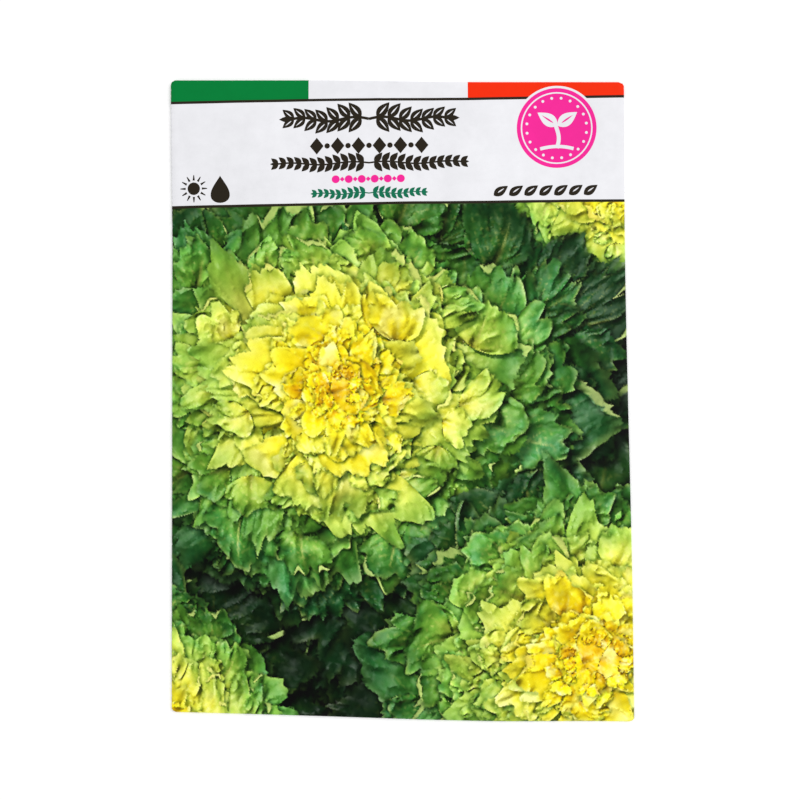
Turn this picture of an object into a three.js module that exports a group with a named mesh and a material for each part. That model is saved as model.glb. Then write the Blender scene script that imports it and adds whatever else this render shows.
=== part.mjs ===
// A sealed paper seed packet, lying on its back with its printed face up.
//
// Frame: millimetres, +Z up, +X across the packet, +Y towards its top edge. The origin is under
// the middle of the packet, on the surface that it lies on.
//
// The envelope is one sheet of paper, cut as a plus sign and folded. The middle of the plus is the
// front panel. A back panel hangs from its bottom edge, a closing flap from its top edge and a seam
// flap from each side. The side flaps fold in first, the back panel folds up over them and is glued
// to them, the seeds go in, and the closing flap folds down over the back panel and is glued to it.

import * as THREE from "three";

// Driving dimensions.
const WIDTH = 82.5; // over the side folds
const HEIGHT = 114.3; // from the bottom fold to the top fold
const PAPER = 0.12; // thickness of the sheet
const GLUE = 0.05; // room between two glued layers
const SLACK = 0.06; // room between the front panel and the side flap behind it
const PUFF = 1.9; // how far the front panel rises above its edges, over the seeds
const CORNER = 0.3; // radius of the front panel's corners
const SEAM_FLAP = 9; // width of each side flap
const CLOSING_FLAP = 17; // depth of the closing flap
const FLAP_CORNER = 4; // radius of the closing flap's corners
const FLAP_SLANT = 0.16; // how much a flap narrows, as a share of its own depth, at each end
const MOUTH_GAP = 1.5; // from the top fold down to the free edge of the back panel
const RISE_START = 30; // where the back panel starts to rise over the closing flap
const RISE_END = 38;

// Heights of the middle of each layer above the surface, where nothing lifts it.
const BACK_MID = PAPER / 2;
const SIDE_FLAP_MID = BACK_MID + PAPER + GLUE;
const FRONT_MID = SIDE_FLAP_MID + PAPER + SLACK;
const LAYER = PAPER + GLUE; // how far the closing flap lifts the layers that lie over it

const smooth = (t) => {
  const c = THREE.MathUtils.clamp(t, 0, 1);
  return c * c * (3 - 2 * c);
};

// How far the layers over the closing flap are lifted at height y of the packet.
const lift = (y) => LAYER * smooth((y - RISE_START) / (RISE_END - RISE_START));

// Radius of each fold, measured to the middle of the paper.
const SIDE_FOLD = (FRONT_MID - SIDE_FLAP_MID) / 2;
const BOTTOM_FOLD = (FRONT_MID - BACK_MID) / 2;
const TOP_FOLD = (FRONT_MID + LAYER - BACK_MID) / 2;

// Where the flat front panel ends and each fold begins.
const FRONT_X = WIDTH / 2 - SIDE_FOLD - PAPER / 2;
const FRONT_BOTTOM = -HEIGHT / 2 + BOTTOM_FOLD + PAPER / 2;
const FRONT_TOP = HEIGHT / 2 - TOP_FOLD - PAPER / 2;

// The pillow of the front panel: fullest over the seeds, a third of the way up.
function puff(x, y) {
  const across = Math.max(0, 1 - (x / FRONT_X) ** 2);
  const along = THREE.MathUtils.clamp((y - FRONT_BOTTOM) / (FRONT_TOP - FRONT_BOTTOM), 0, 1);
  return PUFF * across ** 0.85 * Math.sin(Math.PI * along ** 0.62) ** 0.8;
}

// A strip of paper that runs flat to `edge`, turns round a fold of radius r and comes back behind.
// It gives the place along the strip and the height of the paper's middle.
function wrap(s, edge, r, front, behind) {
  const past = s - edge;
  const turn = past / r;
  if (turn <= 0) return [s, front];
  if (turn < Math.PI) return [edge + r * Math.sin(turn), (front + behind) / 2 + r * Math.cos(turn)];
  return [edge - (past - Math.PI * r), behind];
}

// Where a point of the flat blank lies once it is folded, at the middle of the paper's thickness.
// u runs across the blank and v along it, both measured on the flat sheet.
function folded(u, v) {
  if (Math.abs(u) > FRONT_X) {
    const raised = lift(v);
    const [x, z] = wrap(Math.abs(u), FRONT_X, SIDE_FOLD, FRONT_MID + raised, SIDE_FLAP_MID + raised);
    return new THREE.Vector3(Math.sign(u) * x, v, z);
  }
  if (v < FRONT_BOTTOM) {
    const [y, z] = wrap(-v, -FRONT_BOTTOM, BOTTOM_FOLD, FRONT_MID, BACK_MID);
    return new THREE.Vector3(u, -y, z + (z === BACK_MID ? lift(-y) : 0));
  }
  if (v > FRONT_TOP) {
    const [y, z] = wrap(v, FRONT_TOP, TOP_FOLD, FRONT_MID + LAYER, BACK_MID);
    return new THREE.Vector3(u, y, z);
  }
  return new THREE.Vector3(u, v, FRONT_MID + lift(v) + puff(u, v));
}

// The direction that the printed side faces at a point of the blank.
function facing(u, v) {
  const step = 0.01;
  const across = folded(u + step, v).sub(folded(u - step, v));
  const along = folded(u, v + step).sub(folded(u, v - step));
  return across.cross(along).normalize();
}

const spread = (from, to, count) =>
  Array.from({ length: count + 1 }, (_, i) => from + ((to - from) * i) / count);

// A surface of quads on the blank. Corners that fall on the same spot of the blank are shared.
class Blank {
  constructor() {
    this.spots = [];
    this.quads = [];
    this.index = new Map();
  }

  spot(u, v) {
    const key = `${u.toFixed(4)},${v.toFixed(4)}`;
    if (!this.index.has(key)) {
      this.index.set(key, this.spots.length);
      this.spots.push([u, v]);
    }
    return this.index.get(key);
  }

  // One quad for each pair of neighbouring columns and rows; at(i, j) gives the blank's u and v.
  grid(columns, rows, at) {
    for (let i = 0; i < columns; i += 1) {
      for (let j = 0; j < rows; j += 1) {
        const ring = [at(i, j), at(i + 1, j), at(i + 1, j + 1), at(i, j + 1)];
        this.quads.push(ring.map(([u, v]) => this.spot(u, v)));
      }
    }
  }

  // The folded sheet as a closed solid: printed side, plain side and the cut edge between them.
  solid() {
    const positions = [];
    for (const side of [PAPER / 2, -PAPER / 2]) {
      for (const [u, v] of this.spots) {
        positions.push(...folded(u, v).addScaledVector(facing(u, v), side).toArray());
      }
    }
    const inner = this.spots.length;
    const faces = [];
    const edges = new Map();
    for (const [a, b, c, d] of this.quads) {
      faces.push(a, b, c, a, c, d);
      faces.push(inner + a, inner + c, inner + b, inner + a, inner + d, inner + c);
      for (const [from, to] of [[a, b], [b, c], [c, d], [d, a]]) {
        if (!edges.delete(`${to},${from}`)) edges.set(`${from},${to}`, [from, to]);
      }
    }
    for (const [from, to] of edges.values()) {
      faces.push(from, inner + from, inner + to, from, inner + to, to);
    }
    const geometry = new THREE.BufferGeometry();
    geometry.setAttribute("position", new THREE.Float32BufferAttribute(positions, 3));
    geometry.setIndex(faces);
    return geometry;
  }
}

// Rounds the corner of the front panel: a square of side CORNER becomes a quarter disc.
function roundCorner(u, v) {
  const middleV = (FRONT_TOP + FRONT_BOTTOM) / 2;
  const halfV = (FRONT_TOP - FRONT_BOTTOM) / 2;
  const overU = Math.abs(u) - (FRONT_X - CORNER);
  const overV = Math.abs(v - middleV) - (halfV - CORNER);
  if (overU <= 0 || overV <= 0) return [u, v];
  const shrink = Math.max(overU, overV) / Math.hypot(overU, overV);
  return [
    Math.sign(u) * (FRONT_X - CORNER + overU * shrink),
    middleV + Math.sign(v - middleV) * (halfV - CORNER + overV * shrink),
  ];
}

function envelope() {
  const cornerCells = 2;
  const foldCells = 6;
  const columns = [
    ...spread(-FRONT_X, -FRONT_X + CORNER, cornerCells),
    ...spread(-FRONT_X + CORNER, FRONT_X - CORNER, 14).slice(1, -1),
    ...spread(FRONT_X - CORNER, FRONT_X, cornerCells),
  ];
  const rows = [
    ...spread(FRONT_BOTTOM, FRONT_BOTTOM + CORNER, cornerCells),
    ...spread(FRONT_BOTTOM + CORNER, RISE_START, 14).slice(1, -1),
    ...spread(RISE_START, RISE_END, 4),
    ...spread(RISE_END, FRONT_TOP - CORNER, 4).slice(1, -1),
    ...spread(FRONT_TOP - CORNER, FRONT_TOP, cornerCells),
  ];
  const straightColumns = columns.slice(cornerCells, -cornerCells);
  const straightRows = rows.slice(cornerCells, -cornerCells);
  const blank = new Blank();

  // The front panel.
  blank.grid(columns.length - 1, rows.length - 1, (i, j) => roundCorner(columns[i], rows[j]));

  // The two side flaps: past the fold, each row draws in towards the middle of the flap.
  const sideReach = [
    ...spread(0, Math.PI * SIDE_FOLD, foldCells),
    ...spread(Math.PI * SIDE_FOLD, SEAM_FLAP, 3).slice(1),
  ];
  const drawIn = (v, reach) => v * (1 - (FLAP_SLANT * 2 * reach) / HEIGHT);
  blank.grid(sideReach.length - 1, straightRows.length - 1, (i, j) => [
    FRONT_X + sideReach[i],
    drawIn(straightRows[j], sideReach[i]),
  ]);
  blank.grid(sideReach.length - 1, straightRows.length - 1, (i, j) => {
    const reach = sideReach[sideReach.length - 1 - i];
    return [-FRONT_X - reach, drawIn(straightRows[j], reach)];
  });

  // The back panel, from the bottom fold up to its free edge.
  const turn = Math.PI * BOTTOM_FOLD;
  const reachOf = (y) => turn + (y - FRONT_BOTTOM);
  const backReach = [
    ...spread(0, turn, foldCells),
    ...spread(turn, reachOf(RISE_START), 8).slice(1),
    ...spread(reachOf(RISE_START), reachOf(RISE_END), 4).slice(1),
    ...spread(reachOf(RISE_END), reachOf(HEIGHT / 2 - MOUTH_GAP), 3).slice(1),
  ];
  blank.grid(straightColumns.length - 1, backReach.length - 1, (i, j) => [
    straightColumns[i],
    FRONT_BOTTOM - backReach[backReach.length - 1 - j],
  ]);

  // The closing flap, with slanted ends and rounded corners.
  const flapEnd = Math.PI * TOP_FOLD + CLOSING_FLAP;
  const flapReach = [
    ...spread(0, Math.PI * TOP_FOLD, foldCells),
    ...spread(Math.PI * TOP_FOLD, flapEnd - FLAP_CORNER, 3).slice(1),
    ...spread(0, Math.PI / 2, 4).slice(1).map((a) => flapEnd - FLAP_CORNER * (1 - Math.sin(a))),
  ];
  const straight = straightColumns.at(-1);
  blank.grid(straightColumns.length - 1, flapReach.length - 1, (i, j) => {
    const reach = flapReach[j];
    const round = Math.max(0, reach - (flapEnd - FLAP_CORNER)) / FLAP_CORNER;
    const half = straight - FLAP_SLANT * reach - FLAP_CORNER * (1 - Math.sqrt(1 - round ** 2));
    return [(straightColumns[i] / straight) * half, FRONT_TOP + reach];
  });
  return blank.solid();
}

// A closed strip along Y between two heights that change along it.
function strip(left, right, places, low, high) {
  const positions = [];
  for (const y of places) {
    positions.push(left, y, low(y), right, y, low(y), right, y, high(y), left, y, high(y));
  }
  const last = 4 * (places.length - 1);
  const faces = [0, 1, 2, 0, 2, 3, last, last + 2, last + 1, last, last + 3, last + 2];
  for (let base = 0; base < last; base += 4) {
    for (let k = 0; k < 4; k += 1) {
      const [a, b] = [base + k, base + ((k + 1) % 4)];
      faces.push(a, a + 4, b + 4, a, b + 4, b);
    }
  }
  const geometry = new THREE.BufferGeometry();
  geometry.setAttribute("position", new THREE.Float32BufferAttribute(positions, 3));
  geometry.setIndex(faces);
  return geometry;
}

// Dried paste between a side flap and the back panel, over the flat stretch of the seam.
const GLUE_CLEARANCE = 0.005;
const glueLow = PAPER + GLUE_CLEARANCE;
const glueHigh = PAPER + GLUE - GLUE_CLEARANCE;
const SEAM_GLUE = { inner: FRONT_X - 6.5, outer: FRONT_X - 2, bottom: -50, top: RISE_START - 1 };
const seamGlue = (left, right) =>
  strip(left, right, [SEAM_GLUE.bottom, SEAM_GLUE.top], () => glueLow, () => glueHigh);

// Dried paste between the closing flap and the back panel.
const FLAP_GLUE = { half: 31, bottom: HEIGHT / 2 - 15, top: HEIGHT / 2 - 9 };
const flapGlue = () =>
  strip(-FLAP_GLUE.half, FLAP_GLUE.half, [FLAP_GLUE.bottom, FLAP_GLUE.top], () => glueLow, () => glueHigh);

// The seeds as one flat bed on the inner face of the back panel, thinning to nothing at its rim.
const BED = { y: -23, halfX: 31, halfY: 26, depth: 0.9, floor: PAPER + 0.01 };
function seedBed() {
  const rings = 6;
  const spokes = 36;
  const positions = [0, BED.y, BED.floor, 0, BED.y, BED.floor + BED.depth];
  for (let ring = 1; ring <= rings; ring += 1) {
    const out = Math.sin((Math.PI / 2) * (ring / rings));
    const height = ring < rings ? BED.depth * (1 - out ** 6) : 0;
    for (let spoke = 0; spoke < spokes; spoke += 1) {
      const angle = (2 * Math.PI * spoke) / spokes;
      positions.push(BED.halfX * out * Math.cos(angle), BED.y + BED.halfY * out * Math.sin(angle));
      positions.push(BED.floor + height);
    }
  }
  const faces = [];
  const at = (ring, spoke) => 2 + (ring - 1) * spokes + (spoke % spokes);
  for (let spoke = 0; spoke < spokes; spoke += 1) {
    faces.push(1, at(1, spoke), at(1, spoke + 1));
    faces.push(0, at(rings, spoke + 1), at(rings, spoke));
    for (let ring = 1; ring < rings; ring += 1) {
      faces.push(at(ring, spoke), at(ring + 1, spoke), at(ring + 1, spoke + 1));
      faces.push(at(ring, spoke), at(ring + 1, spoke + 1), at(ring, spoke + 1));
    }
  }
  const geometry = new THREE.BufferGeometry();
  geometry.setAttribute("position", new THREE.Float32BufferAttribute(positions, 3));
  geometry.setIndex(faces);
  return geometry;
}

const coatedPaper = new THREE.MeshStandardMaterial({ color: 0xeeeef2, roughness: 0.6, metalness: 0 });
const paste = new THREE.MeshStandardMaterial({ color: 0xe9e0c4, roughness: 0.35, metalness: 0 });
const seedHusk = new THREE.MeshStandardMaterial({ color: 0xb79f78, roughness: 0.8, metalness: 0 });

function piece(name, geometry, material) {
  const mesh = new THREE.Mesh(geometry, material);
  mesh.name = name;
  return mesh;
}

const packet = new THREE.Group();
packet.add(
  piece("paper_envelope", envelope(), coatedPaper),
  piece("left_seam_glue", seamGlue(-SEAM_GLUE.outer, -SEAM_GLUE.inner), paste),
  piece("right_seam_glue", seamGlue(SEAM_GLUE.inner, SEAM_GLUE.outer), paste),
  piece("closing_flap_glue", flapGlue(), paste),
  piece("seeds", seedBed(), seedHusk),
);

export default packet;
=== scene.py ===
"""Looks of a sealed paper seed packet that lies on its back, built round its CAD frame.

The envelope is drawn again from the same folded blank as the CAD part, finely enough to carry its
print. The print is a bed of frilly salad heads under a header of stripes, rules and plant
ornaments. It holds no lettering. Every length in the drawing code is in millimetres, on the packet
as it lies: x runs across it and y towards its top edge. Meshes are turned to metres at the end.
"""

import math

import bpy
import numpy as np
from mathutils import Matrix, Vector
from mathutils.geometry import delaunay_2d_cdt


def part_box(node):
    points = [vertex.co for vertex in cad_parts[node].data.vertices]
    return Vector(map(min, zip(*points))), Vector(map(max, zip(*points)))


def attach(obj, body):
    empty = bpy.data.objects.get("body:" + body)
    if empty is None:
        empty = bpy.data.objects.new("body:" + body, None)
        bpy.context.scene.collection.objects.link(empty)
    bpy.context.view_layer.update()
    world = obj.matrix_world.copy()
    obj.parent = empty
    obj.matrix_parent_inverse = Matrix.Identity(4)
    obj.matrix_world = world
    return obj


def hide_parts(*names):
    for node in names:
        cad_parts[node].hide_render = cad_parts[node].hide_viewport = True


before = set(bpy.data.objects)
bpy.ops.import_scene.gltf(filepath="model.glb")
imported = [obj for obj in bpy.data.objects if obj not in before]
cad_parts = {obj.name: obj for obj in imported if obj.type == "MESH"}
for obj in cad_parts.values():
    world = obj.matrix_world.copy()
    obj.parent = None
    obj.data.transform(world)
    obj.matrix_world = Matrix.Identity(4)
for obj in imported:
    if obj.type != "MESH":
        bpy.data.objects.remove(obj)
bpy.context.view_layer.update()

bl_info = {
    "name": "Seed Packet",
    "version": (1, 0, 0),
    "blender": (4, 5, 0),
    "location": "3D View > Sidebar > Seed Packet",
    "description": "Builds a printed paper seed packet, its seeds and a plain studio round them",
    "category": "Object",
}

MM = 0.001


# --------------------------------------------------------------------------------------------
# Settings
# --------------------------------------------------------------------------------------------


def linear(colour):
    """Linear light of a display colour given as 0 to 255."""
    c = np.asarray(colour, float) / 255
    return np.where(c <= 0.04045, c / 12.92, ((c + 0.055) / 1.055) ** 2.4).astype(np.float32)


def length_setting(name, description, default):
    return bpy.props.FloatProperty(
        name=name, description=description, default=default, min=0.0, precision=5, unit="LENGTH"
    )


def share_setting(name, description, default):
    return bpy.props.FloatProperty(
        name=name, description=description, default=default, min=0.0, max=1.0, subtype="FACTOR"
    )


def count_setting(name, description, default):
    return bpy.props.IntProperty(name=name, description=description, default=default, min=0)


def ink_setting(name, description, *colour):
    default = linear(colour).tolist()
    return bpy.props.FloatVectorProperty(
        name=name, description=description, default=default, min=0.0, max=1.0, subtype="COLOR"
    )


class EnvelopeSettings(bpy.types.PropertyGroup):
    """The cut and the folds of the paper envelope."""

    width: length_setting("Width", "Over the two side folds", 0.0825)
    height: length_setting("Height", "From the bottom fold to the top fold", 0.1143)
    paper: length_setting("Paper", "Thickness of the sheet", 0.00012)
    glue_gap: length_setting("Glue Gap", "Room between two glued layers", 0.00005)
    slack: length_setting("Slack", "Room between the front panel and a side flap", 0.00006)
    puff: length_setting("Puff", "How far the front panel rises over the seeds", 0.0019)
    corner: length_setting("Corner", "Radius of the front panel's corners", 0.0003)
    seam_flap: length_setting("Seam Flap", "Width of each side flap", 0.009)
    closing_flap: length_setting("Closing Flap", "Depth of the closing flap", 0.017)
    flap_corner: length_setting("Flap Corner", "Radius of the closing flap's corners", 0.004)
    flap_slant: share_setting("Flap Slant", "How much a flap narrows, by its depth", 0.16)
    mouth_gap: length_setting("Mouth Gap", "From the top fold to the back's free edge", 0.0015)
    rise_start: length_setting("Rise Start", "Where the layers start to rise over the flap", 0.030)
    rise_end: length_setting("Rise End", "Height at which they lie on the flap", 0.038)
    out_of_square: bpy.props.FloatProperty(
        name="Out of Square",
        description="How far the top and bottom folds run askew to the side folds and the print",
        default=math.radians(1.2),
        subtype="ANGLE",
        unit="ROTATION",
    )
    waviness: length_setting("Waviness", "Height of the soft waves that handling left", 0.00022)


class PictureSettings(bpy.types.PropertyGroup):
    """The picture of the salad bed and how finely it is printed."""

    seed: count_setting("Seed", "Start of the random draws", 5)
    pitch: length_setting("Pitch", "Spacing of the spots at which the picture is drawn", 0.00014)
    quick_pitch: length_setting("Quick Pitch", "Spacing of the spots in a quick trial", 0.00024)
    points: count_setting("Points", "How many mesh points carry the picture", 80000)
    quick_points: count_setting("Quick Points", "Mesh points in a quick trial", 40000)
    squash: share_setting("Squash", "How flattened each head looks, seen at a slant", 0.84)
    spread: length_setting("Sharpening Spread", "Reach of the sharpening", 0.00035)
    crispness: share_setting("Crispness", "How strongly edges in the picture are sharpened", 0.45)
    contrast: share_setting("Contrast", "How far the picture's tones are pulled apart", 0.4)


class InkSettings(bpy.types.PropertyGroup):
    """The bare paper and the solid inks of the header."""

    paper: ink_setting("Paper", "Bare coated paper", 232, 232, 236)
    black: ink_setting("Black", "Rules and main ornaments", 40, 34, 25)
    green: ink_setting("Green", "Stripe at the left", 0, 123, 55)
    red: ink_setting("Red", "Stripe at the right", 240, 46, 9)
    pink: ink_setting("Pink", "Round seal and small beads", 240, 42, 150)
    small_green: ink_setting("Small Green", "Thin twig under the beads", 20, 110, 80)


class SeedSettings(bpy.types.PropertyGroup):
    """The loose seeds inside."""

    density: bpy.props.FloatProperty(
        name="Density",
        description="Most seeds on each square metre of the bed",
        default=600000.0,
        min=0.0,
    )
    spacing: length_setting("Spacing", "Least room from the middle of a seed to the next", 0.0013)
    seed: count_setting("Seed", "Start of the random draws", 3)
    length: length_setting("Length", "Length of one seed", 0.0025)
    girth: length_setting("Girth", "Widest part of one seed", 0.0009)


class StudioSettings(bpy.types.PropertyGroup):
    """The floor, the lamps and the camera."""

    floor: length_setting("Floor", "Side of the square floor", 3.0)
    daylight: bpy.props.FloatProperty(
        name="Daylight",
        description="Strength of the even light from all round",
        default=0.80,
        min=0.0,
    )
    key: bpy.props.FloatProperty(
        name="Key",
        description="Power of the soft lamp at the upper right",
        default=2.3,
        min=0.0,
    )
    lens: bpy.props.FloatProperty(
        name="Lens", description="Focal length", default=50.0, min=1.0, subtype="DISTANCE_CAMERA"
    )


# --------------------------------------------------------------------------------------------
# Small tools for arrays
# --------------------------------------------------------------------------------------------


def smooth(low, high, value):
    """0 below low, 1 above high, and a soft step between them."""
    t = np.clip((value - low) / (high - low), 0, 1)
    return t * t * (3 - 2 * t)


def displayed(light):
    """Display values from 0 to 1 of linear light."""
    c = np.clip(light, 0, 1)
    return np.where(c <= 0.0031308, c * 12.92, 1.055 * c ** (1 / 2.4) - 0.055)


def blend(a, b, share):
    return a + (b - a) * share[..., None]


GRAIN_SIDE = 256
GRAIN = np.random.default_rng(11).random((GRAIN_SIDE, GRAIN_SIDE)).astype(np.float32) * 2 - 1


def grain(x, y, layer=0):
    """Smooth random values from -1 to 1, one hill or hollow to each unit of x and y."""
    x = np.asarray(x, np.float32) + np.float32(layer * 17.31)
    y = np.asarray(y, np.float32) + np.float32(layer * 9.73)
    ix, iy = np.floor(x), np.floor(y)
    fx, fy = x - ix, y - iy
    fx, fy = fx * fx * (3 - 2 * fx), fy * fy * (3 - 2 * fy)
    ix, iy = ix.astype(np.int32) % GRAIN_SIDE, iy.astype(np.int32) % GRAIN_SIDE
    jx, jy = (ix + 1) % GRAIN_SIDE, (iy + 1) % GRAIN_SIDE
    a, b, c, d = GRAIN[iy, ix], GRAIN[iy, jx], GRAIN[jy, ix], GRAIN[jy, jx]
    return (a + (b - a) * fx) * (1 - fy) + (c + (d - c) * fx) * fy


def layered(x, y, layer=0, octaves=3):
    """Grain with finer and fainter grain on top."""
    total, size, whole = 0, 1.0, 0
    for k in range(octaves):
        total = total + size * grain(x * 2**k, y * 2**k, layer + k)
        whole += size
        size *= 0.5
    return total / whole


def stripes(value, width):
    """Soft ridges at each whole number of value."""
    return np.exp(-((np.abs((value + 0.5) % 1.0 - 0.5)) / width) ** 2)


# --------------------------------------------------------------------------------------------
# The folded blank
# --------------------------------------------------------------------------------------------


# How far the sides are drawn in: the left one below its top, and the right one at its bottom, above
# its middle and at its top. Then how far the right-hand corners are pressed in and the bottom sags.
LEFT_DRAW = 0.30
RIGHT_DRAW = (0.13, 0.69, 0.52)
TOP_DRAW, BOTTOM_DRAW, BOTTOM_SAG = 0.33, 0.50, 0.14

# Marks of handling: where each ridge lies, its heading in degrees, its length, width and rise.
CREASES = (
    (-4.0, 55.0, 124.0, 6.0, 0.70, 0.105),
    (-1.5, 55.2, 52.0, 5.5, 0.65, -0.085),
    (7.5, 55.2, 148.0, 5.5, 0.65, 0.090),
    (-30.0, 45.0, 80.0, 12.0, 1.6, 0.035),
    (16.0, 44.0, 100.0, 11.0, 1.5, -0.035),
    (-38.0, 20.0, 75.0, 16.0, 1.6, 0.045),
    (38.5, -8.0, 98.0, 20.0, 1.8, 0.045),
    (-37.5, -30.0, 102.0, 18.0, 1.6, -0.045),
    (37.0, -45.0, 65.0, 12.0, 1.3, 0.045),
)


class FoldedBlank:
    """One sheet, cut as a plus sign. u runs across the flat blank and v along it, in mm."""

    FOLD_ROWS = 6  # strips of mesh round each fold

    def __init__(self, cut):
        self.width, self.height = cut.width / MM, cut.height / MM
        self.paper, self.puff_height = cut.paper / MM, cut.puff / MM
        self.corner, self.flap_corner = cut.corner / MM, cut.flap_corner / MM
        self.slant = cut.flap_slant
        self.rise = cut.rise_start / MM, cut.rise_end / MM
        self.layer = self.paper + cut.glue_gap / MM
        self.back_mid = self.paper / 2
        self.flap_mid = self.back_mid + self.layer
        self.front_mid = self.flap_mid + self.paper + cut.slack / MM
        self.side_fold = (self.front_mid - self.flap_mid) / 2
        self.bottom_fold = (self.front_mid - self.back_mid) / 2
        self.top_fold = (self.front_mid + self.layer - self.back_mid) / 2
        self.edge = self.width / 2 - self.side_fold - self.paper / 2
        self.bottom = -self.height / 2 + self.bottom_fold + self.paper / 2
        self.top = self.height / 2 - self.top_fold - self.paper / 2
        self.straight = self.edge - self.corner
        self.side_turn, self.bottom_turn, self.top_turn = (
            math.pi * r for r in (self.side_fold, self.bottom_fold, self.top_fold)
        )
        self.flap_end = self.edge + cut.seam_flap / MM
        back_depth = self.height / 2 - cut.mouth_gap / MM - self.bottom
        self.back_end = self.bottom - (self.bottom_turn + back_depth)
        self.closing_end = self.top + self.top_turn + cut.closing_flap / MM
        self.skew = math.tan(cut.out_of_square)
        self.waviness = cut.waviness / MM

    def lift(self, y):
        """How far the closing flap lifts the layers that lie over it."""
        return self.layer * smooth(*self.rise, y)

    def puff(self, x, y):
        """The pillow of the front panel, with the waves and creases that handling left in it."""
        across = np.clip(1 - (x / self.edge) ** 2, 0, 1)
        along = np.clip((y - self.bottom) / (self.top - self.bottom), 0, 1)
        fullness = np.clip(np.sin(math.pi * along**0.62), 0, 1) ** 0.8
        pillow = self.puff_height * across**0.85 * fullness
        side_room, end_room = self.edge - np.abs(x), np.minimum(y - self.bottom, self.top - y)
        inward = smooth(0, 7, side_room) * smooth(0, 7, end_room)
        waves = layered(x / 17, y / 23, 7, 3) + 0.5 * grain(x / 5.2 + y / 9, y / 14 - x / 16, 9)
        waves = waves + 0.13 * layered(x / 2.7, y / 3.3, 21, 2)
        creases = self.creases(x, y) * smooth(0, 1.2, side_room)
        return pillow + self.waviness * inward * waves + creases

    @staticmethod
    def creases(x, y):
        """Short, soft ridges where the paper was pinched."""
        height = 0
        for at_x, at_y, heading, length, width, rise in CREASES:
            ahead, aside = math.cos(math.radians(heading)), math.sin(math.radians(heading))
            s = (x - at_x) * ahead + (y - at_y) * aside
            w = (y - at_y) * ahead - (x - at_x) * aside - 0.06 * s * s / length
            ridge = np.exp(-((w / width) ** 2)) * np.exp(-((2 * s / length) ** 4))
            height = height + rise * ridge
        return height

    @staticmethod
    def wrap(past, edge, radius, front, behind):
        """Place along the strip and height of the paper's middle, past a fold at edge."""
        turn = np.clip(past / radius, 0, math.pi)
        straight = np.minimum(past, 0) - np.maximum(past - math.pi * radius, 0)
        along = edge + radius * np.sin(turn) + straight
        return along, (front + behind) / 2 + (front - behind) / 2 * np.cos(turn)

    def place(self, u, v):
        """Where points of the flat blank lie once it is folded, at the middle of the paper."""
        u, v = np.asarray(u, float), np.asarray(v, float)
        front, back, raised = self.front_mid, self.back_mid, self.lift(v)
        x, y, z = u.copy(), v.copy(), front + raised + self.puff(u, v)
        side = np.abs(u) > self.edge
        past, flap = np.abs(u) - self.edge, self.flap_mid + raised
        side_x, side_z = self.wrap(past, self.edge, self.side_fold, front + raised, flap)
        x, z = np.where(side, np.sign(u) * side_x, x), np.where(side, side_z, z)
        low = (v < self.bottom) & ~side
        low_y, low_z = self.wrap(self.bottom - v, -self.bottom, self.bottom_fold, front, back)
        flat = v < self.bottom - self.bottom_turn
        y, z = np.where(low, -low_y, y), np.where(low, low_z + flat * self.lift(-low_y), z)
        high = (v > self.top) & ~side
        high_y, high_z = self.wrap(v - self.top, self.top, self.top_fold, front + self.layer, back)
        y, z = np.where(high, high_y, y), np.where(high, high_z, z)
        across, along = self.settling(x, y)
        return np.stack([x + across, y - self.skew * x + along, z], -1)

    def settling(self, x, y):
        """How far the outline moved as the packet was filled and handled.

        The sides drew in, and the right-hand corners were pressed towards the middle.
        """
        s, t = 2 * x / self.width, 2 * y / self.height
        left = LEFT_DRAW * (1 - smooth(0.4, 1.0, t))
        right = RIGHT_DRAW[0] + (RIGHT_DRAW[1] - RIGHT_DRAW[0]) * smooth(-0.7, 0.5, t)
        right = right + (RIGHT_DRAW[2] - RIGHT_DRAW[1]) * smooth(0.5, 1.0, t)
        across = left * smooth(0.45, 1.0, -s) - right * smooth(0.45, 1.0, s)
        top = -TOP_DRAW * smooth(-0.4, 0.4, s) * smooth(0.5, 1.0, t)
        sag = BOTTOM_SAG * np.exp(-(((s - 0.15) / 0.4) ** 2))
        bottom = (BOTTOM_DRAW * smooth(0.35, 1.0, s) - sag) * smooth(0.5, 1.0, -t)
        return across, top + bottom

    def facing(self, u, v):
        """The direction that the printed side faces."""
        step = 0.01
        across = self.place(u + step, v) - self.place(u - step, v)
        along = self.place(u, v + step) - self.place(u, v - step)
        normal = np.cross(across, along)
        return normal / np.linalg.norm(normal, axis=-1, keepdims=True)

    def drawn_in(self, v, reach):
        """Rows of a side flap draw in towards its middle."""
        return v * (1 - self.slant * 2 * reach / self.height)

    def cut_at_folds(self, ring):
        """The same ring with a point wherever one of its sides crosses a row of a fold."""
        shares = np.linspace(0, 1, self.FOLD_ROWS + 1)
        columns = [self.edge + share * self.side_turn for share in shares]
        columns += [-column for column in columns]
        rows = [self.top + share * self.top_turn for share in shares]
        rows += [self.bottom - share * self.bottom_turn for share in shares]
        made = []
        for a, b in zip(ring, np.roll(ring, -1, 0), strict=True):
            cuts = {0.0}
            for axis, lines in ((0, columns), (1, rows)):
                if a[axis] != b[axis]:
                    at = (np.array(lines) - a[axis]) / (b[axis] - a[axis])
                    cuts.update(at[(at > 0.001) & (at < 0.999)].tolist())
            made += [a + (b - a) * cut for cut in sorted(cuts)]
        return np.array(made)

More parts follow.
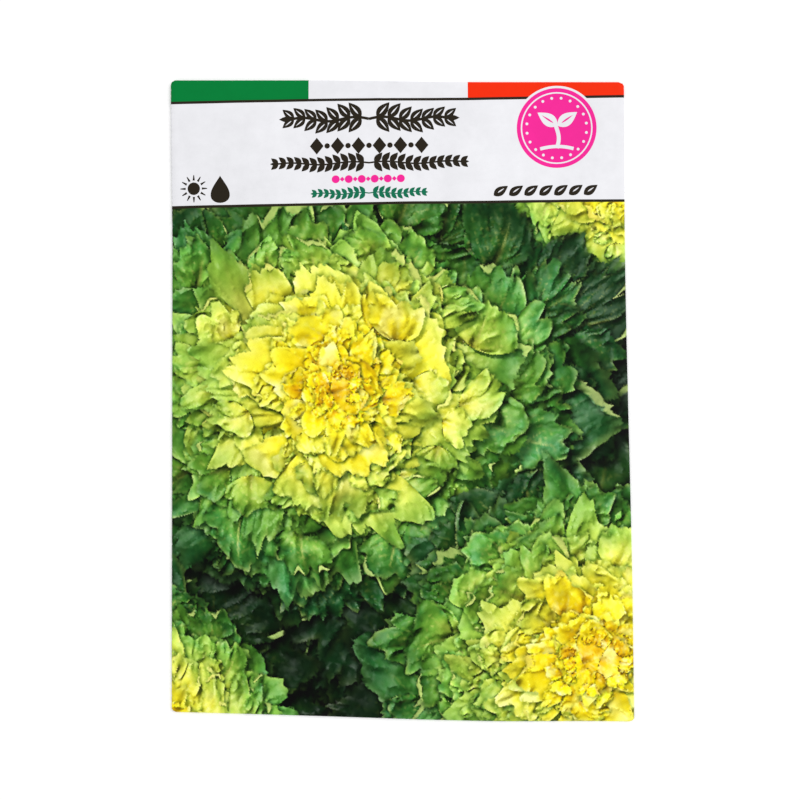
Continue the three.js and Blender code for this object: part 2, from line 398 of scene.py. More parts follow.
    def outline(self, step):
        """The cut edge of the blank, counter-clockwise, as points about step apart."""
        s, e, c = self.straight, self.edge, self.corner
        reach = self.flap_end - e
        quarter = np.linspace(0, math.pi / 2, 7)
        low, high = self.bottom + c, self.top - c
        corners = [(s, self.back_end), (s, self.bottom)]
        corners += [(s + c * math.sin(a), low - c * math.cos(a)) for a in quarter[1:-1]]
        corners += [(e, low), (self.flap_end, self.drawn_in(low, reach))]
        corners += [(self.flap_end, self.drawn_in(high, reach)), (e, high)]
        corners += [(s + c * math.cos(a), high + c * math.sin(a)) for a in quarter[1:-1]]
        corners += [(s, self.top)]
        r = self.flap_corner
        start = self.closing_end - r
        half = s - self.slant * (start - self.top)
        corners += [(half - r * (1 - math.cos(a)), start + r * math.sin(a)) for a in quarter]
        right = np.array(corners)
        left = right[::-1] * (-1, 1)
        return divided(np.concatenate([right, left]), lambda length: round(length / step))

    def fold_points(self, step, outline):
        """Rows of points round the four folds, inside the outline."""
        rows = np.linspace(0, 1, self.FOLD_ROWS + 1)
        made = []
        for v in np.arange(self.bottom + self.corner, self.top - self.corner, step):
            for share in rows:
                reach = share * self.side_turn
                made += [(side * (self.edge + reach), self.drawn_in(v, reach)) for side in (-1, 1)]
        for u in np.arange(-self.straight + step / 2, self.straight, step):
            made += [(u, self.bottom - share * self.bottom_turn) for share in rows]
            made += [(u, self.top + share * self.top_turn) for share in rows]
        made = np.array(made)
        return made[within(made, outline)]

    def spread_points(self, step, low=-1e9, high=1e9):
        """A plain lattice over the whole blank, or the part of it between two heights."""
        us = np.arange(-self.flap_end, self.flap_end, step)
        vs = np.arange(max(self.back_end, low), min(self.closing_end, high), step)
        grid = np.stack(np.meshgrid(us, vs), -1).reshape(-1, 2)
        return grid[within(grid, self.outline(2.0))]


def divided(ring, count_for):
    """The same ring with each side cut into as many parts as count_for gives for its length."""
    made = []
    for a, b in zip(ring, np.roll(ring, -1, 0), strict=True):
        count = max(1, count_for(np.linalg.norm(b - a)))
        made += [a + (b - a) * k / count for k in range(count)]
    return np.array(made)


def within(points, ring):
    """Which points lie inside a closed ring."""
    inside = np.zeros(len(points), bool)
    low, high = ring.min(0), ring.max(0)
    near = np.flatnonzero(((points >= low) & (points <= high)).all(1))
    x, y = points[near, 0], points[near, 1]
    odd = np.zeros(len(near), bool)
    for (ax, ay), (bx, by) in zip(ring, np.roll(ring, -1, 0), strict=True):
        if ay != by:
            crosses = (ay > y) != (by > y)
            odd ^= crosses & (x < (bx - ax) * (y - ay) / (by - ay) + ax)
    inside[near] = odd
    return inside


# --------------------------------------------------------------------------------------------
# The picture: heads of frilly leaves, drawn one over another from the outside in
# --------------------------------------------------------------------------------------------

SUN = np.array([-0.50, 0.55, 0.67]) / np.linalg.norm([-0.50, 0.55, 0.67])
GLINT = SUN + np.array([0, -0.25, 1.0])
GLINT = GLINT / np.linalg.norm(GLINT)

# Leaf colours from the blanched heart out to the rim of a head, by distance in head radii.
LEAF_RAMP = (
    (0.00, (255, 206, 8)),
    (0.14, (255, 228, 18)),
    (0.28, (250, 238, 62)),
    (0.42, (226, 232, 98)),
    (0.58, (182, 212, 98)),
    (0.76, (134, 184, 84)),
    (0.96, (92, 152, 72)),
    (1.25, (50, 112, 62)),
)
RAMP_AT = np.array([at for at, _ in LEAF_RAMP])
RAMP_LIGHT = np.stack([linear(colour) for _, colour in LEAF_RAMP])
PALE_LEAF, BLUE_LEAF = linear((250, 250, 168)), linear((64, 143, 92))
SOIL = linear((92, 82, 66))

# Each head: where its heart is, its radius, its number of leaves and the turn of its first leaf.
HEADS = (
    (-44.0, 44.0, 30.0, 40, 4.0),
    (43.0, 38.0, 32.0, 42, 1.2),
    (-11.0, -1.0, 43.0, 74, 0.4),
    (-46.0, -62.0, 30.0, 40, 3.0),
    (34.0, -49.0, 37.0, 62, 2.1),
)
GOLDEN_TURN = math.radians(137.508)
CURLS = 6  # curled lobes along each leaf's margin
UNDER_LEAVES = 26  # shaded leaves under each head
UNDER_GLOOM = 0.52


def leaf_colour(growth):
    channels = [np.interp(growth, RAMP_AT, RAMP_LIGHT[:, m]) for m in range(3)]
    return np.stack(channels, -1).astype(np.float32)


class SaladBed:
    """The picture on a lattice of spots, as linear light."""

    def __init__(self, left, right, bottom, top, pitch):
        self.left, self.bottom, self.pitch = left, bottom, pitch
        self.xs = np.arange(left, right, pitch).astype(np.float32)
        self.ys = np.arange(bottom, top, pitch).astype(np.float32)
        x, y = np.meshgrid(self.xs, self.ys)
        crumbs = layered(x * 0.7, y * 0.9, 51, 4)
        slope_y, slope_x = np.gradient(crumbs, pitch)
        relief = np.clip(1 - 0.9 * (slope_x * SUN[0] + slope_y * SUN[1]), 0.1, 2.2)
        clods = smooth(-0.3, 0.4, layered(x * 0.16, y * 0.2, 61, 3))
        depth = np.clip(0.35 + 0.65 * clods + 0.5 * crumbs, 0.1, 2)
        self.light = (SOIL * (0.75 * depth * relief)[..., None]).astype(np.float32)

    def grow_undergrowth(self, draws, heart_x, heart_y, radius, squash):
        """Leaves in deep shade that reach out from under a head."""
        for k in range(UNDER_LEAVES):
            place = 2 * math.pi * (k + draws.uniform(-0.4, 0.4)) / UNDER_LEAVES
            luck = draws.uniform(0, 1, 20)
            length = radius * (0.42 + 0.20 * luck[1])
            start = radius * (0.50 + 0.34 * luck[0])
            foot = (heart_x + start * math.cos(place), heart_y + start * math.sin(place) * squash)
            heading = place + (luck[19] - 0.5) * 2.2
            head, broad = (heart_x, heart_y, radius), 0.9 + 0.5 * luck[2]
            self.draw_leaf(head, foot, heading, length, broad, 0.0, squash, luck, UNDER_GLOOM)

    def grow_head(self, draws, heart_x, heart_y, radius, count, whirl, squash):
        """Draws a head's leaves from the rim in, and the nearer ones after those behind."""
        head, leaves = (heart_x, heart_y, radius), []
        for k in range(count):
            age = (k + 0.5) / count
            place = whirl + k * GOLDEN_TURN + draws.normal(0, 0.2)
            luck = draws.uniform(0, 1, 20)
            leaves.append((age - 0.10 * math.sin(place), age, place, luck))
        for _, age, place, luck in sorted(leaves, key=lambda leaf: leaf[0]):
            upright = 0.10 + 0.85 * float(smooth(0.25, 1.0, age))
            heading = place + (luck[0] - 0.5) * (0.9 + 1.1 * age)
            length = radius * (0.66 - 0.30 * age**0.7) * (0.80 + 0.40 * luck[1])
            length *= 1 - 0.35 * float(smooth(0.8, 1.0, age))
            out = math.cos(upright)
            step_x = out * math.cos(heading)
            step_y = out * math.sin(heading) * squash + (1 - squash**2) ** 0.5 * math.sin(upright)
            seen = math.hypot(step_x, step_y)
            broad = (0.95 + 0.45 * luck[2]) / max(seen, 0.55)
            start = radius * 0.44 * (1 - age) ** 0.9
            start -= length * 0.34 * float(smooth(0.5, 0.95, age))
            foot = (heart_x + start * math.cos(place), heart_y + start * math.sin(place) * squash)
            flat = squash + (1 - squash) * age
            heading, length = math.atan2(step_y, step_x), length * max(seen, 0.55)
            self.draw_leaf(head, foot, heading, length, broad, age, flat, luck)
            self.draw_curls(draws, head, foot, heading, length, broad, age, flat)

    def draw_curls(self, draws, head, foot, heading, length, broad, age, squash):
        """The lobes of a leaf's margin that curl up and lie over the leaf."""
        fan = min(0.5 + 0.45 * broad, 1.2)
        for k in draws.permutation(CURLS):
            luck = draws.uniform(0, 1, 20)
            side = ((k + 0.5) / CURLS * 2 - 1) * 0.85 + (luck[0] - 0.5) * 0.25
            way = heading + side * fan
            reach = length * (0.74 - 0.20 * side * side) * (0.78 + 0.30 * luck[1])
            lobe_foot = (foot[0] + reach * math.cos(way), foot[1] + reach * math.sin(way))
            lobe_heading = heading + side * fan * 1.35 + (luck[2] - 0.5) * 1.9
            lobe = length * (0.24 + 0.20 * luck[3])
            lobe_broad = 1.05 + 0.7 * luck[4]
            self.draw_leaf(head, lobe_foot, lobe_heading, lobe, lobe_broad, age, squash, luck)

    def draw_leaf(self, head, foot, heading, length, broad, age, squash, luck, gloom=0.0):
        """One leaf. age is 0 at the head's rim and 1 in its heart, and gloom 1 in full shade."""
        heart_x, heart_y, radius = head
        foot_x, foot_y = foot
        bend = (luck[3] - 0.5) * 0.8
        ahead, aside = math.cos(heading), math.sin(heading)
        small = min(1.0, length / 12)
        reach_out = 0.5 * length * (1.5 + 0.55 * broad) + 4.5 * small
        middle_x, middle_y = foot_x + 0.5 * length * ahead, foot_y + 0.5 * length * aside
        i0 = max(int((middle_x - reach_out - self.left) / self.pitch), 0)
        i1 = min(int((middle_x + reach_out - self.left) / self.pitch) + 1, len(self.xs))
        j0 = max(int((middle_y - reach_out - self.bottom) / self.pitch), 0)
        j1 = min(int((middle_y + reach_out - self.bottom) / self.pitch) + 1, len(self.ys))
        if i1 - i0 < 3 or j1 - j0 < 3:
            return
        x, y = np.meshgrid(self.xs[i0:i1], self.ys[j0:j1])
        phase, tag = luck[:8] * 2 * math.pi, float(100 * luck[8])
        lobes = 1.6 + 1.4 * luck[9]
        frilly = (0.75 + 0.5 * luck[10]) * (1.1 - 0.35 * age) * small

        # The margin: an oval seen from the leaf's foot, with lobes and an uneven frill.
        oval_at, oval_a, oval_b = 0.54 * length, 0.52 * length, broad * length / 2
        fan = math.atan2(oval_b, math.sqrt(oval_at**2 - oval_a**2))
        rim_q = np.linspace(-1.15, 1.15, 1200)
        angle = np.clip(rim_q, -1, 1) * fan * 0.995
        qa = (np.cos(angle) / oval_a) ** 2 + (np.sin(angle) / oval_b) ** 2
        qb = -2 * oval_at * np.cos(angle) / oval_a**2
        qc = (oval_at / oval_a) ** 2 - 1
        rim = (-qb + np.sqrt(np.maximum(qb * qb - 4 * qa * qc, 0))) / (2 * qa)
        still = rim_q * 0 + tag
        wander = grain(rim_q * 2.2 + tag, still, 5)
        lobed = 0.085 * np.sin(math.pi * lobes * (rim_q + 0.20 * wander) + phase[0])
        lobed += 0.050 * np.sin(math.pi * 2.6 * lobes * (rim_q + 0.12 * wander) + phase[1])
        arc = rim_q * fan * length
        notch = 0.30 - np.abs(grain(arc / 4.2 + tag, still, 8)) ** 0.8
        tooth = 0.35 - np.abs(grain(arc / 1.7 + tag, still, 9)) ** 0.9
        fine_tooth = 0.35 - np.abs(grain(arc / 0.75 + tag, still, 10))
        margin = 1 + lobed + frilly * (-3.6 * notch + 1.7 * tooth + 0.5 * fine_tooth) / length
        rim = (rim * margin * (1 - smooth(0.96, 1.04, np.abs(rim_q)))).astype(np.float32)

        def on_leaf(x, y):
            """Along and across the leaf, and as a fan: q from side to side, r from the foot."""
            dx, dy = x - foot_x, y - foot_y
            s = dx * ahead + dy * aside
            w = (dy * ahead - dx * aside) - bend * s * np.abs(s) / length
            return s, w, np.arctan2(w, s) / fan, np.hypot(s, w)

        s, w, q, r = on_leaf(x, y)
        limit = np.interp(q, rim_q, rim)

        # Its shadow on what lies below.
        drop = (0.05 + 0.05 * luck[12]) * length + 0.25
        s_cast, _, q_cast, r_cast = on_leaf(x - 0.55 * drop, y + 0.70 * drop)
        blur = 0.05 * length + 0.3
        cast = smooth(-blur, 0.8 * blur, np.interp(q_cast, rim_q, rim) - r_cast)
        cast = cast * (s_cast > -0.1 * length)
        close = smooth(-0.6 * blur - 0.6, 0.2, limit - r) * (s > -0.1 * length)
        shade = (0.86 - 0.36 * age) * np.maximum(cast, 0.75 * close)
        below = self.light[j0:j1, i0:i1]
        below *= (1 - shade)[..., None] ** np.array([1.12, 0.92, 1.1])
        cover = np.clip((limit - r) / self.pitch * 0.8 + 0.5, 0, 1) * (s > -0.02 * length)
        if cover.max() <= 0:
            return

        # Its relief: crumpled folds that deepen towards the margin, blisters, veins and the rib.
        rho = np.clip(r / np.maximum(limit, 1e-3), 0, 1.3)
        along, across = s / length, w / length
        warp = 0.55 * layered(along * 3.0 + tag, across * 3.0 + tag, 5, 2)
        folds = 0.5 - np.abs(grain(q * 2.1 + warp + tag, rho * 1.3 + tag, 14))
        spread = q * fan * length
        small_folds = 0.5 - np.abs(grain(spread / 3.6 + 1.8 * warp + tag, r / 5.5 + tag, 15))
        frill_folds = grain(spread / 1.5 + 2.5 * warp + tag, r / 3.5, 16)
        blister = layered(s / 3.8 + tag, w / 3.8 + tag, 3, 3)
        net = layered(s / 1.1 + tag, w / 1.1, 31, 2)
        relief = 0.105 * folds * (0.25 + 0.95 * rho**1.6)
        relief += 0.90 / length * small_folds * (0.20 + rho**2.2)
        fine_relief = 0.34 * frill_folds * rho**4 + 0.62 * blister * (0.5 + 0.5 * rho) + 0.05 * net
        relief += fine_relief / length
        relief *= 0.75 + 0.5 * luck[13]
        trough = 0.055 * np.clip(np.sqrt((across / 0.09) ** 2 + 0.15), 0, 1.6)
        relief += trough * smooth(-0.8, -0.1, -rho)
        slope_y, slope_x = np.gradient(relief * length, self.pitch)
        climb = 0.40 - 0.95 * (0.40 + 0.6 * luck[16]) * smooth(0.45, 1.05, rho)
        nx, ny = -slope_x - climb * ahead, -slope_y - climb * aside
        nz = 1 / np.sqrt(nx * nx + ny * ny + 1)
        nx, ny = nx * nz, ny * nz
        facing = nx * SUN[0] + ny * SUN[1] + nz * SUN[2]

        # Its colour: blanched near the heart, green outside, paler at the margin and the veins.
        away = np.hypot(x - heart_x, (y - heart_y - 0.10 * radius) / squash) / radius
        patch = layered(along * 3.0 + tag, across * 3.0 + tag, 11, 3)
        growth = away + 0.16 * (rho - 0.6) + 0.20 * (luck[14] - 0.5) + 0.10 * patch
        growth = growth - 0.18 * (age - 0.6)
        colour = leaf_colour(growth)
        bluish = smooth(0.0, 0.7, patch) * smooth(0.6, 0.95, growth)
        colour = blend(colour, BLUE_LEAF, bluish * 0.40)
        bleached = smooth(0.15, 0.6, layered(along * 2.2 + tag * 1.3, across * 2.2, 13, 2))
        colour = blend(colour, PALE_LEAF, bleached * smooth(-0.8, -0.25, -growth) * 0.50)
        edge = smooth(0.90, 1.0, rho) * np.clip(0.45 + 0.5 * grain(q * 9 + tag, rho * 2, 12), 0, 1)
        colour = blend(colour, PALE_LEAF, edge * 0.22)
        rib_width = 0.009 + 0.026 * (1 - np.minimum(rho, 1))
        rib = np.exp(-((across / rib_width) ** 2)) * smooth(-1.0, -0.45, -rho)
        chevron = along * 1.15 - np.abs(across) * (1.0 + 0.5 * warp) + 0.16 * warp
        side_ribs = stripes(chevron * 5.5 + luck[15], 0.055) * smooth(0.02, 0.06, np.abs(across))
        threads = stripes(chevron * 17 + 0.8 * warp + 3 * np.abs(across), 0.13)
        threads = threads * smooth(0.03, 0.1, np.abs(across))
        branches = (0.40 * side_ribs + 0.12 * threads) * smooth(-1.0, -0.5, -rho)
        veins = np.clip(0.8 * rib + branches, 0, 1)
        colour = blend(colour, PALE_LEAF, veins * 0.42)

        # Its light: sun, sky in the hollows, and a glow of light passed on within the heart.
        warm = smooth(-0.85, -0.2, -growth)
        hollow = smooth(-0.07, 0.09, relief - 0.03) * 0.60 + 0.40
        under = smooth(-0.05, 0.55, rho + 0.12 * age)
        sun = np.clip(0.05 + 1.05 * facing, 0, None)
        light = 1.22 * sun * (0.45 + 0.55 * hollow) * (0.26 + 0.74 * under)
        light = light + 0.14 * nz * hollow * under + 0.16 * warm * (0.4 + 0.6 * under) + 0.03
        light = light * (0.76 + 0.34 * luck[17]) * (1 - gloom)
        light = light * (1 - 0.30 * smooth(-0.30, 0.0, -age))
        light = light[..., None] * np.array([1.03, 1.0, 0.90], np.float32)
        dim = 1 - np.clip(light.mean(-1, keepdims=True), 0.02, 1)
        colour = colour ** (1 + 0.45 * dim) * light
        glint = np.clip(nx * GLINT[0] + ny * GLINT[1] + nz * GLINT[2], 0, 1) ** 30
        colour = colour + (0.10 * glint * hollow)[..., None]

        # Where the margin rolls over, the leaf's paler back shows.
        rolls = np.sin(math.pi * 1.3 * lobes * (rim_q + 0.2 * wander) + phase[7])
        rolls = np.maximum(0, rolls - 0.35) * 0.15
        roll = np.interp(q, rim_q, rolls) * (luck[18] > 0.7)
        hem = 1 - roll * (1 + 0.35 * grain(q * 12 + tag, rho * 0, 17))
        rolled = smooth(0.0, 0.02, rho - hem) * (roll > 0.02)
        over = np.clip((rho - hem) / np.maximum(roll, 1e-3), 0, 1)
        back = leaf_colour(growth - 0.12)
        back = back + (PALE_LEAF - back) * np.float32(0.30)
        turned = 0.5 - 0.5 * np.cos(np.arctan2(y - foot_y, x - foot_x) - 2.3)
        back_light = 0.62 + 0.50 * np.sin(math.pi * (0.2 + 0.65 * over))
        back_light = back_light * (0.72 + 0.28 * turned) * (0.95 + 0.2 * net)
        crease = smooth(-0.05, 0.0, rho - hem) * (hem > rho) * smooth(0.0, 0.04, roll)
        colour = colour * (1 - 0.5 * crease)[..., None]
        colour = blend(colour, back * back_light[..., None], rolled)
        below += (np.clip(colour, 0, 1.3) - below) * cover[..., None]

    def develop(self, spread, crispness, contrast):
        """Sharpens the picture and deepens its contrast, as print makers do."""
        shown = displayed(self.light).astype(np.float32)
        reach = max(1, round(spread / self.pitch))
        taps = np.exp(-0.5 * (np.arange(-2 * reach, 2 * reach + 1) / reach) ** 2)
        taps /= taps.sum()
        soft = shown
        for axis in (0, 1):
            room = [(2 * reach, 2 * reach) if k == axis else (0, 0) for k in range(3)]
            wide = np.pad(soft, room, mode="edge")
            size = shown.shape[axis]
            shifted = (np.take(wide, range(k, k + size), axis) for k in range(len(taps)))
            soft = sum(tap * moved for tap, moved in zip(taps, shifted, strict=True))
        shown = np.clip(shown + crispness * (shown - soft), 0, 1)
        shown = shown + contrast * (smooth(0, 1, shown) - shown)
        self.light = linear(shown * 255)

    def at(self, x, y):
        """The picture's light at any places, between the spots that were drawn."""
        fx = np.clip((x - self.left) / self.pitch, 0, len(self.xs) - 1.001)
        fy = np.clip((y - self.bottom) / self.pitch, 0, len(self.ys) - 1.001)
        i, j = fx.astype(int), fy.astype(int)
        tx, ty = (fx - i)[:, None], (fy - j)[:, None]
        low = self.light[j, i] * (1 - tx) + self.light[j, i + 1] * tx
        high = self.light[j + 1, i] * (1 - tx) + self.light[j + 1, i + 1] * tx
        return low * (1 - ty) + high * ty

    def telling_points(self, count):
        """The spots that carry the picture best: close along its edges, few on plain parts.

        Each row is walked the other way from the last, and what a spot lacks or has too much is
        shared out over its neighbours that are still to come.
        """
        shown = displayed(self.light)
        weight = np.zeros(shown.shape[:2])
        for axis in (0, 1):
            weight += np.abs(np.gradient(shown, axis=axis)).sum(-1)
            weight += 0.5 * np.abs(np.gradient(np.gradient(shown, axis=axis), axis=axis)).sum(-1)
        weight = weight + 0.15 * weight.mean()
        share = weight / weight.sum() * count
        for _ in range(12):
            share = np.clip(share, 0, 1)
            loose = share < 1
            share *= 1 + (count - share.sum()) / max(share[loose].sum(), 1) * loose
        share = np.clip(share, 0, 1)
        chosen = []
        carry = np.zeros(share.shape[1] + 2)
        for row in range(share.shape[0]):
            step = 1 if row % 2 == 0 else -1
            wanted = share[row].tolist()
            held, following, spare = carry.tolist(), [0.0] * len(carry), 0.0
            for k in range(len(wanted))[::step]:
                value = wanted[k] + held[k + 1] + spare
                taken = 1.0 if value > 0.5 else 0.0
                if taken:
                    chosen.append((row, k))
                rest = value - taken
                spare = rest * (7 / 16)
                following[k + 1 - step] += rest * (3 / 16)
                following[k + 1] += rest * (5 / 16)
                following[k + 1 + step] += rest / 16
            carry = np.array(following)
        rows, columns = np.array(chosen).T
        return np.stack([self.xs[columns], self.ys[rows]], -1).astype(float)


def draw_picture(settings):
    pitch = settings.pitch / MM
    left, right, bottom = PICTURE_REACH
    bed = SaladBed(left, right, bottom, PICTURE_TOP + 0.5, pitch)
    draws = np.random.default_rng(settings.seed)
    for x, y, radius, *_ in HEADS:
        bed.grow_undergrowth(draws, x, y, radius, settings.squash)
    for head in HEADS:
        bed.grow_head(draws, *head, settings.squash)
    bed.develop(settings.spread / MM, settings.crispness, settings.contrast)
    return bed


# --------------------------------------------------------------------------------------------
# The header: stripes, rules and ornaments, as rings of points with an ink for each
# --------------------------------------------------------------------------------------------

PICTURE_TOP = 34.35
PICTURE_REACH = (-43.5, 43.5, -60.5)  # its left, right and bottom, past the folds
RULE = 0.48  # weight of the black rules
UPPER_RULE_ENDS = (53.50, 53.40)  # height of the upper rule at the left and at the right
STRIPE_ENDS = (-15.96, 12.82)  # where the green stripe ends and the red one starts
SIDE_BLEED = 1.2
END_BLEED = 3.5


def finely(ring, step):
    """The same ring with points at most a step apart, so that it follows the panel's rise."""
    return divided(ring, lambda length: math.ceil(length / step))


def ring_of(*corners):
    return np.array(corners, float)


def block(left, right, bottom, top):
    return ring_of((left, bottom), (right, bottom), (right, top), (left, top))


def disc(x, y, radius, count=40):
    a = np.linspace(0, 2 * math.pi, count, endpoint=False)
    return np.stack([x + radius * np.cos(a), y + radius * np.sin(a)], -1)


def petal(x, y, length, width, heading):
    """A pointed leaf from x, y."""
    t = np.linspace(0, 1, 14)
    half = width / 2 * np.sin(math.pi * t**0.85) ** 0.9 * (1 - 0.25 * t**1.6)
    side = np.stack([t * length, half], -1)
    outline = np.concatenate([side, (side * (1, -1))[-2:0:-1]])
    return turned_to(outline, x, y, heading)


def turned_to(points, x, y, heading):
    c, s = math.cos(heading), math.sin(heading)
    return points @ np.array([[c, s], [-s, c]]) + (x, y)


def diamond(x, y, width, height):
    a, b = width / 2, height / 2
    return ring_of((x - a, y), (x, y - b), (x + a, y), (x, y + b))


def stem(points, width):
    """A line of that width through points."""
    p = np.array(points, float)
    along = np.gradient(p, axis=0)
    along /= np.linalg.norm(along, axis=1, keepdims=True)
    side = np.stack([-along[:, 1], along[:, 0]], -1) * width / 2
    return np.concatenate([p + side, (p - side)[::-1]])


def garland(ink, x, y, half, leaf, pairs, slits=True):
    """A twig with pairs of leaves that mirror each other about x, and a leaf at each of its ends.
    """
    reach = 0.93
    made = []

    def on_twig(side, t):
        """A spot on the gently waving twig, from 0 in its middle to 1 past its end."""
        return x + side * half * t, y + 0.10 * leaf * math.sin(3.2 * math.pi * t)

    for side in (-1, 1):
        line = [on_twig(side, t) for t in np.linspace(0, reach, 24)]
        made.append((ink, stem(line, leaf * 0.14)))
        for k in range(pairs):
            t = (k + 0.7) / (pairs + 0.15)
            foot = on_twig(side, t * reach)
            size = leaf * (1 - 0.28 * t)
            for up in (-1, 1):
                heading = up * math.radians(52 - 14 * t)
                heading = heading if side > 0 else math.pi - heading
                made.append((ink, petal(*foot, size, size * 0.56, heading)))
                if slits:
                    start = turned_to(np.array([[size * 0.22, 0]]), *foot, heading)[0]
                    made.append(("paper", petal(*start, size * 0.56, size * 0.075, heading)))
        tip = on_twig(side, 0.90)
        made.append((ink, petal(*tip, leaf * 0.62, leaf * 0.30, 0 if side > 0 else math.pi)))
    return made


def string_of(ink, even, odd, count, left, right):
    """Two small shapes by turns, at even steps."""
    places = [left + (right - left) * (k + 0.5) / count for k in range(count)]
    return [(ink, (odd if k % 2 else even)(x)) for k, x in enumerate(places)]


def seal(x, y, radius):
    """A round mark with a sprout, and a white margin that parts it from the stripe behind it."""
    made = [("paper", disc(x, y, radius + 0.42, 64)), ("pink", disc(x, y, radius, 64))]
    made += [("paper", disc(x, y, radius * 0.90, 64)), ("pink", disc(x, y, radius * 0.865, 64))]
    dots, dot_ring = 20, radius * 0.755
    for k in range(dots):
        a = 2 * math.pi * (k + 0.5) / dots
        dot = disc(x + dot_ring * math.cos(a), y + dot_ring * math.sin(a), radius * 0.036, 12)
        made.append(("paper", dot))
    t = np.linspace(0, 1, 12)
    stalk = np.stack([x + 0.05 * radius * np.sin(4 * t), y - radius * (0.50 - 0.62 * t)], -1)
    made.append(("paper", stem(stalk, radius * 0.10)))
    foot, lean = (x + 0.02 * radius, y + radius * 0.06), math.radians(34)
    for heading in (lean, math.pi - lean):
        made.append(("paper", petal(*foot, radius * 0.60, radius * 0.34, heading)))
        start = turned_to(np.array([[radius * 0.12, 0]]), *foot, heading)[0]
        made.append(("pink", petal(*start, radius * 0.36, radius * 0.045, heading)))
    t = np.linspace(-1, 1, 12)
    mound = np.stack([x + radius * 0.42 * t, y - radius * (0.46 + 0.06 * t * t)], -1)
    made.append(("paper", stem(mound, radius * 0.085)))
    return made


def sunny(ink, x, y, radius):
    """A sun: a disc with twelve rays that narrow outwards."""
    ray = ring_of((0.60, -0.085), (1.0, -0.03), (1.0, 0.03), (0.60, 0.085)) * radius
    rays = [(ink, turned_to(ray, x, y, math.radians(30 * k))) for k in range(12)]
    return [(ink, disc(x, y, radius * 0.46, 28)), *rays]


def drop(ink, x, y, size):
    """A drop of water."""
    t = np.linspace(0, 2 * math.pi, 30, endpoint=False)
    shape = np.stack([0.5 * np.sin(t) * np.sin(t / 2) ** 1.4, 0.5 * np.cos(t)], -1)
    return [(ink, shape * size + (x, y))]


def header_shapes(blank):
    """Every ring of the print in the order in which it is laid down, as (ink, ring)."""
    wide = blank.edge + blank.side_turn + SIDE_BLEED
    high = blank.top + blank.top_turn + END_BLEED
    low = blank.bottom - blank.bottom_turn - END_BLEED
    start, end = UPPER_RULE_ENDS
    green_end, red_start = STRIPE_ENDS
    made = [
        ("picture", block(-wide, wide, low, PICTURE_TOP)),
        ("green", block(-wide, green_end, start, high)),
        ("red", block(red_start, wide, end, high)),
        ("paper", ring_of((-wide, start - 1), (wide, end - 1), (wide, end), (-wide, start))),
        ("black", ring_of((-wide, start), (wide, end), (wide, end + RULE), (-wide, start + RULE))),
        ("black", block(-wide, wide, PICTURE_TOP, PICTURE_TOP + RULE)),
    ]
    middle = -5.0
    made += garland("black", middle, 50.1, 15.6, 3.7, 7)
    diamonds, dots = (lambda x: diamond(x, 45.2, 2.5, 3.1)), (lambda x: disc(x, 45.2, 0.5, 16))
    made += string_of("black", diamonds, dots, 11, -15.4, 5.4)
    made += garland("black", middle, 42.0, 18.4, 2.3, 12, slits=False)
    beads, links = (lambda x: disc(x, 39.05, 0.72, 20)), (lambda x: diamond(x, 39.05, 0.9, 0.9))
    made += string_of("pink", beads, links, 11, -11.6, 1.3)
    made += garland("small_green", middle, 36.45, 10.7, 1.6, 9, slits=False)
    made += sunny("black", -37.1, 37.9, 2.5)
    made += drop("black", -32.2, 37.7, 5.0)
    slant, seed_step = math.radians(34), 2.75
    seeds_and_slits = (("black", 17.3, 35.75, 3.1, 1.75), ("paper", 18.0, 36.25, 1.5, 0.24))
    for ink, x, y, length, width in seeds_and_slits:
        made += [(ink, petal(x + seed_step * k, y, length, width, slant)) for k in range(7)]
    made += seal(28.9, 48.0, 7.35)
    return [(ink, finely(ring, HEADER_STEP)) for ink, ring in made]


# --------------------------------------------------------------------------------------------
# Finishes
# --------------------------------------------------------------------------------------------

PRINT_SHINE = 0.06
TOOTH_DEPTH = 0.000010


